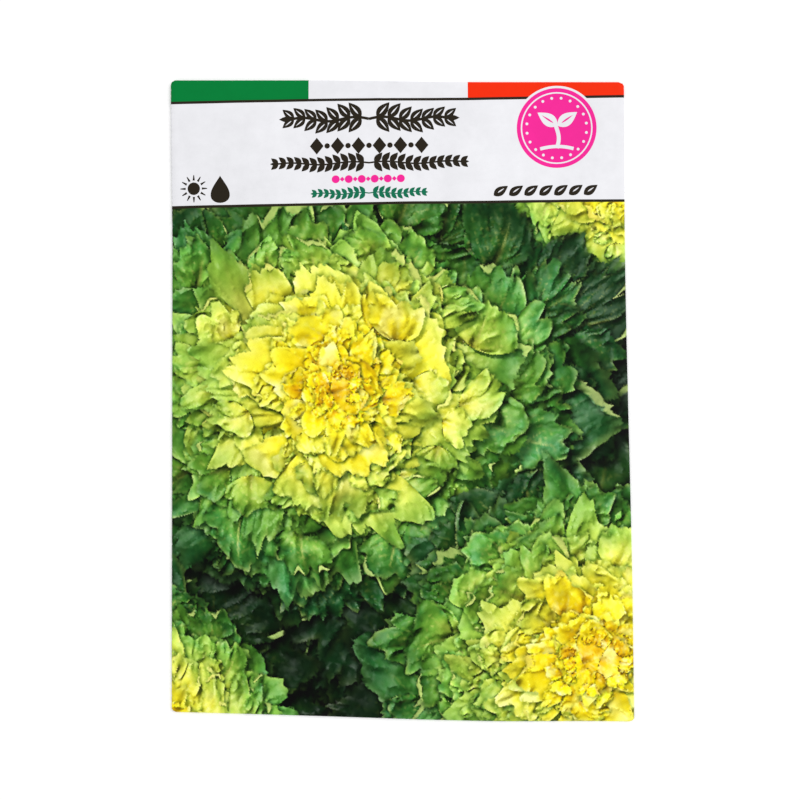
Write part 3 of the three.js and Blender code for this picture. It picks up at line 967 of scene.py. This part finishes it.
class Finish:
    """A material whose nodes are added one after another."""

    def __init__(self, name):
        self.material = bpy.data.materials.new(name)
        self.material.use_nodes = True
        self.nodes, self.links = self.material.node_tree.nodes, self.material.node_tree.links
        self.shader = self.nodes["Principled BSDF"]
        self.shader.inputs["Specular IOR Level"].default_value = PRINT_SHINE
        self.nodes["Material Output"].location = (600, 0)
        self.place = self.add("ShaderNodeTexCoord").outputs["Object"]

    def add(self, kind, **values):
        node = self.nodes.new(kind)
        node.location = (-220 * len(self.nodes) % 1500 - 1500, -180 * len(self.nodes))
        for key, value in values.items():
            setattr(node, key, value)
        return node

    def feed(self, node, **inputs):
        """Sets a node's inputs, each to a value or to another node's socket."""
        for name, value in inputs.items():
            socket = node.inputs[name.replace("_", " ")]
            if isinstance(value, bpy.types.NodeSocket):
                self.links.new(value, socket)
            else:
                socket.default_value = value
        return node

    def noise(self, scale, detail=2.0, roughness=0.5):
        node = self.add("ShaderNodeTexNoise")
        self.feed(node, Vector=self.place, Scale=scale, Detail=detail, Roughness=roughness)
        return node.outputs["Fac"]

    def ranged(self, value, low, high, start=0.0, end=1.0):
        """A value that runs from start to end, stretched to run from low to high."""
        node = self.add("ShaderNodeMapRange")
        self.feed(node, Value=value, From_Min=start, From_Max=end, To_Min=low, To_Max=high)
        return node.outputs["Result"]

    def math(self, operation, a, b):
        node = self.add("ShaderNodeMath", operation=operation)
        for socket, value in zip(node.inputs[:2], (a, b), strict=True):
            if isinstance(value, bpy.types.NodeSocket):
                self.links.new(value, socket)
            else:
                socket.default_value = value
        return node.outputs[0]

    def scaled(self, colour, by):
        """A colour times a number."""
        node = self.add("ShaderNodeVectorMath", operation="SCALE")
        if isinstance(colour, bpy.types.NodeSocket):
            self.links.new(colour, node.inputs[0])
        else:
            node.inputs[0].default_value = colour
        self.links.new(by, node.inputs["Scale"])
        return node.outputs[0]

    def bump(self, height, distance):
        node = self.feed(self.add("ShaderNodeBump"), Height=height, Distance=distance, Strength=1.0)
        self.links.new(node.outputs["Normal"], self.shader.inputs["Normal"])

    def paper_tooth(self):
        """The faint felt of coated paper under the print."""
        fine = self.noise(2600.0, 3.0, 0.6)
        broad = self.noise(240.0, 2.0)
        self.bump(self.math("ADD", fine, self.math("MULTIPLY", broad, 2.5)), TOOTH_DEPTH)


def ink_finish(name, base, mottle, gloss):
    """Solid ink, or bare coated paper: a little uneven, as offset print is."""
    finish = Finish(name)
    cloud = finish.ranged(finish.noise(420.0, 4.0, 0.65), 1 - mottle, 1 + mottle, 0.25, 0.75)
    broad = finish.ranged(finish.noise(75.0, 2.0), 1 - mottle, 1 + mottle, 0.3, 0.7)
    tone = finish.math("MULTIPLY", cloud, broad)
    finish.feed(finish.shader, Base_Color=finish.scaled(base, tone))
    roughness = finish.ranged(finish.noise(900.0), gloss - 0.06, gloss + 0.06)
    finish.feed(finish.shader, Roughness=roughness)
    finish.paper_tooth()
    return finish.material


def picture_finish():
    """The screened picture: its light comes from the mesh, its dots and grain from the nodes."""
    finish = Finish("picture print")
    light = finish.add("ShaderNodeAttribute", attribute_name="PictureLight")
    split = finish.feed(finish.add("ShaderNodeSeparateXYZ"), Vector=finish.place)
    across, along = split.outputs["X"], split.outputs["Y"]
    waves = []
    for a, b in ((14800.0, 5400.0), (-5400.0, 14800.0)):
        parts = finish.math("MULTIPLY", across, a), finish.math("MULTIPLY", along, b)
        waves.append(finish.math("SINE", finish.math("ADD", *parts), 0.0))
    dot_tone = finish.ranged(finish.math("MULTIPLY", *waves), 0.955, 1.045, -1.0, 1.0)
    grain_tone = finish.ranged(finish.noise(1500.0, 4.0, 0.7), 0.93, 1.07, 0.3, 0.7)
    tone = finish.math("MULTIPLY", dot_tone, grain_tone)
    finish.feed(finish.shader, Base_Color=finish.scaled(light.outputs["Color"], tone))
    finish.feed(finish.shader, Roughness=finish.ranged(finish.noise(900.0), 0.42, 0.52))
    finish.paper_tooth()
    return finish.material


# --------------------------------------------------------------------------------------------
# Meshes
# --------------------------------------------------------------------------------------------

OUTLINE_STEP = 0.6  # spacing of points along the cut edge
HEADER_STEP = 1.1  # in the header
PLAIN_STEP = 3.0  # on the back panel and the closing flap
INNER_STEP = 2.2  # on the unprinted side
FOLD_STEP = 0.55  # along the folds
BAKE_FRONT_HALF = 42.6


def triangulate(points, rings):
    """Triangles over all points inside the first ring, which keep every ring as edges."""
    spots, edges = [], []
    for ring in rings:
        first = len(spots)
        spots += ring.tolist()
        edges += [(first + k, first + (k + 1) % len(ring)) for k in range(len(ring))]
    spots += points.tolist()
    found = delaunay_2d_cdt([Vector(p) for p in spots], edges, [], 0, 1e-6)
    places, faces = np.array([tuple(p) for p in found[0]]), np.array(found[2], int)
    faces = faces[within(places[faces].mean(1), rings[0])]
    a, b, c = (places[faces[:, k]] for k in range(3))
    area = (b[:, 0] - a[:, 0]) * (c[:, 1] - a[:, 1]) - (b[:, 1] - a[:, 1]) * (c[:, 0] - a[:, 0])
    faces = np.where((area < 0)[:, None], faces[:, ::-1], faces)[np.abs(area) > 1e-12]
    used, faces = np.unique(faces, return_inverse=True)
    return places[used], faces.reshape(-1, 3)


def walk_rim(faces):
    """The points round the rim in order, along the edges that only one face has."""
    edges = np.concatenate([faces[:, [0, 1]], faces[:, [1, 2]], faces[:, [2, 0]]])
    keys = {(a, b) for a, b in edges.tolist()}
    rim = [(a, b) for a, b in keys if (b, a) not in keys]
    following, loop = dict(rim), [rim[0][0]]
    while following[loop[-1]] != loop[0]:
        loop.append(following[loop[-1]])
    return loop


def print_to_blank(points, blank):
    """The print is square with the side folds, and the blank's rows run askew by its skew."""
    return points + np.stack([0 * points[:, 0], blank.skew * points[:, 0]], -1)


def bake_place(u, v, blank):
    """The printed side's place on the bake map, which gives most room to the front panel."""
    widths = [-blank.flap_end, -BAKE_FRONT_HALF, BAKE_FRONT_HALF, blank.flap_end]
    heights = [blank.back_end, blank.bottom - 1.5, blank.top + 1.5, blank.closing_end]
    across = np.interp(u, widths, [0.01, 0.06, 0.94, 0.99])
    return np.stack([across, np.interp(v, heights, [0.07, 0.15, 0.955, 0.975])], -1)


def mesh_object(name, places, faces, materials, slots, maps):
    """An object of triangles, with a material slot for each and its corners' places on a map."""
    mesh = bpy.data.meshes.new(name)
    mesh.vertices.add(len(places))
    mesh.vertices.foreach_set("co", np.asarray(places, np.float32).ravel())
    mesh.loops.add(faces.size)
    mesh.loops.foreach_set("vertex_index", faces.astype(np.int32).ravel())
    mesh.polygons.add(len(faces))
    mesh.polygons.foreach_set("loop_start", np.arange(len(faces), dtype=np.int32) * 3)
    mesh.polygons.foreach_set("material_index", slots.astype(np.int32))
    for material in materials:
        mesh.materials.append(material)
    mesh.update(calc_edges=True)
    layer = mesh.uv_layers.new(name="OFBake")
    layer.uv.foreach_set("vector", maps.astype(np.float32).ravel())
    if mesh.validate():
        raise RuntimeError(f"{name} was drawn with faults")
    mesh.polygons.foreach_set("use_smooth", np.ones(len(faces), bool))
    made = bpy.data.objects.new(name, mesh)
    bpy.context.scene.collection.objects.link(made)
    return made


def printed_side(blank, bed, shapes, picture):
    """The printed side on the flat blank: its points, its triangles and the ink of each."""
    outline = blank.outline(OUTLINE_STEP)
    rings = [outline]
    rings += [blank.cut_at_folds(print_to_blank(ring, blank)) for _, ring in shapes]
    telling = bed.telling_points(picture.points)
    telling = print_to_blank(telling[telling[:, 1] < PICTURE_TOP - 0.05], blank)
    clear = (np.abs(telling[:, 0]) < blank.edge - 0.05) & (telling[:, 1] > blank.bottom + 0.05)
    telling = telling[clear]
    points = [
        telling[within(telling, outline)],
        blank.spread_points(HEADER_STEP, PICTURE_TOP - 1, blank.top),
        blank.spread_points(PLAIN_STEP, high=blank.bottom - 1),
        blank.spread_points(PLAIN_STEP, low=blank.top + 1.2),
        blank.fold_points(FOLD_STEP, outline),
    ]
    spots, faces = triangulate(np.concatenate(points), rings)
    centres = spots[faces].mean(1)
    inks = ["paper"] + sorted({ink for ink, _ in shapes} - {"paper"})
    slots = np.zeros(len(faces), int)
    for (ink, _), ring in zip(shapes, rings[1:], strict=True):
        slots[within(centres, ring)] = inks.index(ink)
    return spots, faces, slots, inks


def plain_side(blank, rim):
    """The unprinted side, which has fewer points and the same cut edge, and its rim's points."""
    folds = blank.fold_points(FOLD_STEP, blank.outline(OUTLINE_STEP))
    plain = np.concatenate([blank.spread_points(INNER_STEP), folds[::2]])
    spots, faces = triangulate(plain, [rim])
    return spots, faces[:, ::-1], [int(np.argmin(((spots - p) ** 2).sum(1))) for p in rim]


def cut_edge(outer_rim, inner_rim):
    """Walls between the two sides all round the cut edge, and their places on the bake map."""
    walls, maps = [], []
    count = len(outer_rim)
    for k in range(count):
        n = (k + 1) % count
        a, b, c, d = outer_rim[k], outer_rim[n], inner_rim[k], inner_rim[n]
        walls += [(a, c, b), (b, c, d)]
        left, right = 0.02 + 0.96 * k / count, 0.02 + 0.96 * (k + 1) / count
        near, far = 0.985, 0.995
        maps += [(left, near), (left, far), (right, near)]
        maps += [(right, near), (left, far), (right, far)]
    return np.array(walls), np.array(maps)


def envelope_finish(ink, colours):
    if ink == "picture":
        return picture_finish()
    base = tuple(getattr(colours, ink))
    if ink == "paper":
        return ink_finish("coated paper", base, 0.036, 0.58)
    return ink_finish(f"{ink.replace('_', ' ')} ink", base, 0.03, 0.46)


def build_envelope(context):
    cut = context.scene.packet_envelope
    low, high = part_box("paper_envelope")
    if abs((high.x - low.x) - cut.width) > 1e-4 or abs((high.y - low.y) - cut.height) > 1e-4:
        raise RuntimeError("the envelope's settings differ from the CAD part")
    blank = FoldedBlank(cut)
    picture = context.scene.packet_picture
    bed = draw_picture(picture)
    spots, faces, slots, inks = printed_side(blank, bed, header_shapes(blank), picture)
    rim = walk_rim(faces)
    in_spots, in_faces, in_rim = plain_side(blank, spots[rim])

    half, shift = blank.paper / 2, len(spots)
    outer = blank.place(*spots.T) + half * blank.facing(*spots.T)
    inner = blank.place(*in_spots.T) - half * blank.facing(*in_spots.T)
    walls, wall_maps = cut_edge(rim, [shift + k for k in in_rim])
    all_faces = np.concatenate([faces, shift + in_faces, walls])
    all_slots = np.concatenate([slots, np.zeros(len(in_faces) + len(walls), int)])
    spread = (in_spots - in_spots.min(0)) / np.ptp(in_spots, axis=0)
    inner_maps = (0.02, 0.005) + spread * (0.96, 0.05)
    outer_maps = bake_place(*spots.T, blank)
    maps = np.concatenate([outer_maps[faces.ravel()], inner_maps[in_faces.ravel()], wall_maps])
    envelope = mesh_object(
        "printed_envelope",
        np.concatenate([outer, inner]) * MM,
        all_faces,
        [envelope_finish(ink, context.scene.packet_inks) for ink in inks],
        all_slots,
        maps,
    )
    light = envelope.data.color_attributes.new("PictureLight", "FLOAT_COLOR", "POINT")
    seen = np.ones((shift + len(in_spots), 4), np.float32)
    print_y = spots[:, 1] - blank.skew * spots[:, 0]
    seen[:shift, :3] = np.clip(bed.at(spots[:, 0], print_y), 0.001, 1)
    light.data.foreach_set("color", seen.ravel())
    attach(envelope, "root")
    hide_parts("paper_envelope")


class PACKET_OT_envelope(bpy.types.Operator):
    """Fold and print the paper envelope"""

    bl_idname = "packet.envelope"
    bl_label = "Fold Envelope"

    def execute(self, context):
        build_envelope(context)
        return {"FINISHED"}


SEED_BED_CENTRE = (0.0, -23.0)
SEED_BED_HALF = (31.0, 26.0)
SEED_BED_DEPTH = 0.9
SEED_BED_FLOOR = 0.13  # height of the back panel's inner side
SEED_THICKNESS = 0.62  # as a share of a seed's width


def seed_finish():
    """Dull, dry husk, grey-brown and mottled."""
    finish = Finish("seed husk")
    mix = finish.add("ShaderNodeMix", data_type="RGBA")
    mottle = finish.ranged(finish.noise(1400.0, 4.0, 0.7), 0.0, 1.0, 0.35, 0.65)
    finish.links.new(mottle, mix.inputs[0])
    mix.inputs[6].default_value = (*linear((92, 74, 56)).tolist(), 1)
    mix.inputs[7].default_value = (*linear((150, 130, 102)).tolist(), 1)
    finish.links.new(mix.outputs[2], finish.shader.inputs["Base Color"])
    finish.feed(finish.shader, Roughness=0.7)
    finish.bump(finish.noise(5200.0, 3.0), 0.00004)
    return finish.material


def paste_finish():
    """Dried paste: yellowish white, with a little gloss."""
    finish = Finish("dried paste")
    tone = finish.ranged(finish.noise(700.0, 3.0), 0.93, 1.05)
    base = tuple(linear((228, 221, 198)).tolist())
    finish.feed(finish.shader, Base_Color=finish.scaled(base, tone), Roughness=0.38)
    finish.bump(finish.noise(1100.0, 2.0), 0.00002)
    return finish.material


class NodeGroup:
    """A geometry node group that is wired node by node."""

    def __init__(self, name, inputs):
        self.group = bpy.data.node_groups.new(name, "GeometryNodeTree")
        sockets = self.group.interface
        sockets.new_socket("Geometry", in_out="OUTPUT", socket_type="NodeSocketGeometry")
        self.identifiers = {}
        for label, kind in inputs:
            made = sockets.new_socket(label, in_out="INPUT", socket_type=f"NodeSocket{kind}")
            self.identifiers[label] = made.identifier
        self.source = self.group.nodes.new("NodeGroupInput").outputs
        self.target = self.group.nodes.new("NodeGroupOutput").inputs

    def add(self, kind, feeds=(), **values):
        """Adds a node. feeds pairs each input socket's name or number with a socket or a value."""
        node = self.group.nodes.new(kind)
        for key, value in values.items():
            setattr(node, key, value)
        for name, value in feeds:
            if isinstance(value, bpy.types.NodeSocket):
                self.group.links.new(value, node.inputs[name])
            else:
                node.inputs[name].default_value = value
        return node

    def math(self, operation, *parts):
        return self.add("ShaderNodeMath", list(enumerate(parts)), operation=operation).outputs[0]

    def vector(self, operation, *parts):
        node = self.add("ShaderNodeVectorMath", list(enumerate(parts)), operation=operation)
        return node.outputs[0]

    def product(self, *parts):
        whole = parts[0]
        for part in parts[1:]:
            whole = self.math("MULTIPLY", whole, part)
        return whole


def seed_bed_group():
    """One seed, strewn over an oval bed that is deepest in its middle."""
    made = NodeGroup(
        "Seed Bed",
        [
            ("Density", "Float"),
            ("Spacing", "Float"),
            ("Seed", "Int"),
            ("Length", "Float"),
            ("Girth", "Float"),
            ("Half Width", "Float"),
            ("Half Height", "Float"),
            ("Centre", "Vector"),
            ("Floor", "Float"),
            ("Depth", "Float"),
            ("Material", "Material"),
        ],
    )
    given = made.source

    # The bed, drawn in by half a seed's length, and a spot for each seed.
    half_seed = made.product(given["Length"], 0.5)
    half_x, half_y = (
        made.math("SUBTRACT", given[name], half_seed) for name in ("Half Width", "Half Height")
    )
    size = made.add("ShaderNodeCombineXYZ", [("X", half_x), ("Y", half_y), ("Z", 1.0)]).outputs[0]
    round_bed = [("Vertices", 64), ("Radius", 1.0)]
    oval = made.add("GeometryNodeMeshCircle", round_bed, fill_type="NGON").outputs[0]
    laid_out = [("Geometry", oval), ("Translation", given["Centre"]), ("Scale", size)]
    bed = made.add("GeometryNodeTransform", laid_out).outputs[0]
    spots = made.add(
        "GeometryNodeDistributePointsOnFaces",
        [
            ("Mesh", bed),
            ("Distance Min", given["Spacing"]),
            ("Density Max", given["Density"]),
            ("Seed", given["Seed"]),
        ],
        distribute_method="POISSON",
    ).outputs[0]

    # How high each seed lies: anywhere between the floor and the top of the bed there.
    position = made.add("GeometryNodeInputPosition").outputs[0]
    share = made.vector("DIVIDE", made.vector("SUBTRACT", position, given["Centre"]), size)
    right, up, _ = made.add("ShaderNodeSeparateXYZ", [(0, share)]).outputs
    squares = made.math("ADD", made.product(right, right), made.product(up, up))
    fullness = made.math("SUBTRACT", 1.0, made.product(squares, squares))
    thick = made.product(given["Girth"], SEED_THICKNESS)
    room = made.math("SUBTRACT", made.product(given["Depth"], fullness), thick)
    chance = made.add("FunctionNodeRandomValue", [("Seed", given["Seed"])], data_type="FLOAT")
    above = made.product(made.math("MAXIMUM", room, 0.0), chance.outputs[1])
    lowest = made.math("ADD", given["Floor"], made.product(thick, 0.5))
    offset = made.add("ShaderNodeCombineXYZ", [("Z", made.math("ADD", lowest, above))]).outputs[0]
    raised = [("Geometry", spots), ("Offset", offset)]
    laid = made.add("GeometryNodeSetPosition", raised).outputs[0]

    # One seed: a long bead that is blunt at one end and narrows to the other.
    bead_sizes = [("Segments", 10), ("Rings", 7), ("Radius", 0.5)]
    bead = made.add("GeometryNodeMeshUVSphere", bead_sizes).outputs[0]
    upright = [("Vector", made.add("GeometryNodeInputPosition").outputs[0]), ("Angle", math.pi / 2)]
    lying = made.add("ShaderNodeVectorRotate", upright, rotation_type="Y_AXIS").outputs[0]
    x, y, z = made.add("ShaderNodeSeparateXYZ", [(0, lying)]).outputs
    taper = made.math("SUBTRACT", 1.0, made.product(made.math("ADD", x, 0.1), 0.75))
    shaped = made.add(
        "ShaderNodeCombineXYZ",
        [
            ("X", made.product(x, given["Length"])),
            ("Y", made.product(y, taper, given["Girth"])),
            ("Z", made.product(z, taper, thick)),
        ],
    ).outputs[0]
    formed = [("Geometry", bead), ("Position", shaped)]
    seed = made.add("GeometryNodeSetPosition", formed).outputs[0]

    # Each is turned its own way, tilted a little and varied in size.
    tilt = 0.05
    turns = [(0, (-tilt, -tilt, 0.0)), (1, (tilt, tilt, 2 * math.pi)), ("Seed", given["Seed"])]
    turn = made.add("FunctionNodeRandomValue", turns, data_type="FLOAT_VECTOR").outputs[0]
    turned = made.add("FunctionNodeEulerToRotation", [("Euler", turn)]).outputs[0]
    sizes = [(2, 0.82), (3, 1.0), ("Seed", 7)]
    scale = made.add("FunctionNodeRandomValue", sizes, data_type="FLOAT").outputs[1]
    strewn = made.add(
        "GeometryNodeInstanceOnPoints",
        [("Points", laid), ("Instance", seed), ("Rotation", turned), ("Scale", scale)],
    ).outputs[0]
    real = made.add("GeometryNodeRealizeInstances", [("Geometry", strewn)]).outputs[0]
    rounded = made.add("GeometryNodeSetShadeSmooth", [("Geometry", real)]).outputs[0]
    dressed = [("Geometry", rounded), ("Material", given["Material"])]
    finished = made.add("GeometryNodeSetMaterial", dressed).outputs[0]
    made.group.links.new(finished, made.target[0])
    return made


def build_seeds(context):
    settings = context.scene.packet_seeds
    made = seed_bed_group()
    holder = bpy.data.objects.new("loose_seeds", bpy.data.meshes.new("loose_seeds"))
    context.scene.collection.objects.link(holder)
    modifier = holder.modifiers.new("Seed Bed", "NODES")
    modifier.node_group = made.group
    centre_x, centre_y = SEED_BED_CENTRE
    half_width, half_height = SEED_BED_HALF
    values = {
        "Density": settings.density,
        "Spacing": settings.spacing,
        "Seed": settings.seed,
        "Length": settings.length,
        "Girth": settings.girth,
        "Half Width": half_width * MM,
        "Half Height": half_height * MM,
        "Centre": (centre_x * MM, centre_y * MM, 0.0),
        "Floor": SEED_BED_FLOOR * MM,
        "Depth": SEED_BED_DEPTH * MM,
        "Material": seed_finish(),
    }
    for label, value in values.items():
        modifier[made.identifiers[label]] = value
    holder.update_tag()
    context.view_layer.update()
    depsgraph = context.evaluated_depsgraph_get()
    mesh = bpy.data.meshes.new_from_object(holder.evaluated_get(depsgraph), depsgraph=depsgraph)
    if not mesh.polygons:
        raise RuntimeError("no seeds were strewn")
    holder.modifiers.clear()
    holder.data = mesh
    mesh.materials.clear()
    mesh.materials.append(values["Material"])
    mesh.polygons.foreach_set("material_index", np.zeros(len(mesh.polygons), np.int32))
    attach(holder, "root")
    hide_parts("seeds")


class PACKET_OT_seeds(bpy.types.Operator):
    """Strew the loose seeds inside the envelope"""

    bl_idname = "packet.seeds"
    bl_label = "Strew Seeds"

    def execute(self, context):
        build_seeds(context)
        return {"FINISHED"}


class PACKET_OT_paste(bpy.types.Operator):
    """Give the three strips of paste their finish"""

    bl_idname = "packet.paste"
    bl_label = "Finish Paste"

    def execute(self, context):
        finish = paste_finish()
        for name in ("left_seam_glue", "right_seam_glue", "closing_flap_glue"):
            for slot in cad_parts[name].material_slots:
                slot.material = finish
        return {"FINISHED"}


class PACKET_OT_studio(bpy.types.Operator):
    """Set up the floor, the lamps and the camera"""

    bl_idname = "packet.studio"
    bl_label = "Set Up Studio"

    def execute(self, context):
        scene, studio = context.scene, context.scene.packet_studio
        half = studio.floor / 2
        corners = [(-half, -half, 0), (half, -half, 0), (half, half, 0), (-half, half, 0)]
        mesh = bpy.data.meshes.new("floor")
        mesh.from_pydata(corners, [], [(0, 1, 2, 3)])
        floor = bpy.data.objects.new("floor", mesh)
        scene.collection.objects.link(floor)
        white = bpy.data.materials.new("floor white")
        white.use_nodes = True
        shader = white.node_tree.nodes["Principled BSDF"]
        shader.inputs["Base Color"].default_value = (0.97, 0.97, 0.97, 1)
        shader.inputs["Roughness"].default_value = 0.9
        shader.inputs["Specular IOR Level"].default_value = 0.0
        shader.inputs["Emission Color"].default_value = (1, 1, 1, 1)
        shader.inputs["Emission Strength"].default_value = 0.06
        mesh.materials.append(white)

        world = bpy.data.worlds.new("daylight")
        scene.world = world
        world.use_nodes = True
        sky = world.node_tree.nodes["Background"]
        sky.inputs["Color"].default_value = (1, 1, 1, 1)
        sky.inputs["Strength"].default_value = studio.daylight

        lamp = bpy.data.lights.new("key", "AREA")
        lamp.energy, lamp.shape, lamp.size, lamp.size_y = studio.key, "RECTANGLE", 0.5, 0.5
        key = bpy.data.objects.new("key", lamp)
        key.location = (0.46, 0.24, 0.58)
        key.rotation_euler = (-key.location).to_track_quat("-Z", "Y").to_euler()
        scene.collection.objects.link(key)

        camera = bpy.data.objects.new("camera", bpy.data.cameras.new("camera"))
        camera.data.lens, camera.data.sensor_width = studio.lens, 36.0
        camera.data.clip_start, camera.data.clip_end = 0.01, 20.0
        camera.location = (0.00967, -0.00778, 0.19893)
        camera.rotation_euler = [math.radians(a) for a in (2.019, 2.718, -0.329)]
        scene.collection.objects.link(camera)
        scene.camera = camera
        scene.view_settings.view_transform = "Standard"
        scene.view_settings.look = "None"
        return {"FINISHED"}


class PACKET_PT_panel(bpy.types.Panel):
    """Settings and buttons of the packet"""

    bl_idname = "PACKET_PT_panel"
    bl_label = "Seed Packet"
    bl_space_type = "VIEW_3D"
    bl_region_type = "UI"
    bl_category = "Seed Packet"

    def draw(self, context):
        for group in GROUPS:
            box = self.layout.box()
            settings = getattr(context.scene, group)
            for name in settings.__annotations__:
                box.prop(settings, name)
        for operator in STEPS:
            self.layout.operator(operator)


GROUPS = {
    "packet_envelope": EnvelopeSettings,
    "packet_picture": PictureSettings,
    "packet_inks": InkSettings,
    "packet_seeds": SeedSettings,
    "packet_studio": StudioSettings,
}
STEPS = ("packet.envelope", "packet.seeds", "packet.paste", "packet.studio")
CLASSES = (
    *GROUPS.values(),
    PACKET_OT_envelope,
    PACKET_OT_seeds,
    PACKET_OT_paste,
    PACKET_OT_studio,
    PACKET_PT_panel,
)


def register():
    for made in CLASSES:
        bpy.utils.register_class(made)
    for name, group in GROUPS.items():
        setattr(bpy.types.Scene, name, bpy.props.PointerProperty(type=group))


def unregister():
    for name in GROUPS:
        delattr(bpy.types.Scene, name)
    for made in reversed(CLASSES):
        bpy.utils.unregister_class(made)


def main():
    register()
    for step in STEPS:
        group, name = step.split(".")
        getattr(getattr(bpy.ops, group), name)()
    bpy.context.view_layer.update()


if __name__ == "__main__":
    main()
